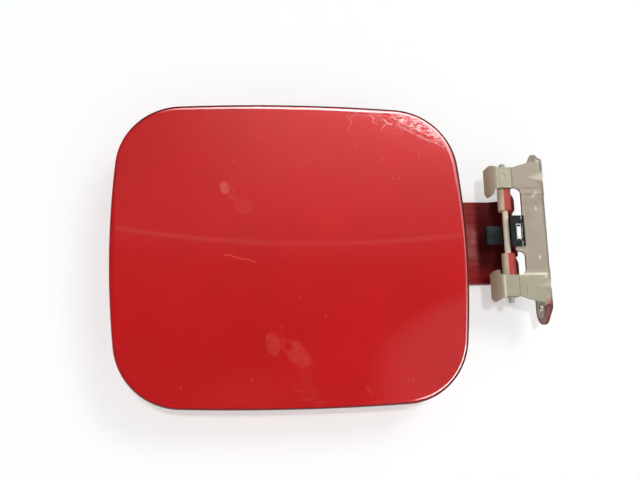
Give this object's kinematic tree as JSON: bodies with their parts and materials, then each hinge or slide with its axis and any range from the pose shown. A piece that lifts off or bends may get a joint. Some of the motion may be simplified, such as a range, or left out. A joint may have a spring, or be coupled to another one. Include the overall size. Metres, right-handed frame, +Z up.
{
  "type": "car fuel door",
  "caption": "Painted fuel door with hemmed skin, inner panel and gooseneck arm, hinged on a pin to a beige sheet bracket.",
  "frame": {"origin": "midway between the two screw holes, on the mounting face of the hinge bracket's flange", "axes": "+Z up along the hinge pin, +X out of the mounting face towards the car body, -Y outward from the car"},
  "size_m": [0.2037, 0.0369, 0.1402],
  "materials": {
    "red_paint": "gloss clear coat",
    "red_primer": "thin red overspray, satin",
    "zinc_steel": "zinc plated",
    "black_rubber": "matte",
    "beige_paint": "satin beige with worn red overspray",
    "beige_pin": "satin",
    "black_nylon": "moulded, slightly shiny"
  },
  "bodies": {
    "bracket": {"hinge_bracket": "beige_paint", "hinge_pin": "beige_pin", "spring_clip": "black_nylon"},
    "door": {"outer_panel": "red_paint", "inner_panel": "red_paint", "hinge_arm": "red_primer", "latch_striker": "zinc_steel", "buffer_upper": "black_rubber", "buffer_lower": "black_rubber"}
  },
  "joints": [
    {"name": "door_hinge", "type": "hinge", "parent": "bracket", "child": "door", "pos_m": [-0.0194, -0.0085, 0], "axis": [0, 0, 1], "range_deg": [0, 87]}
  ]
}
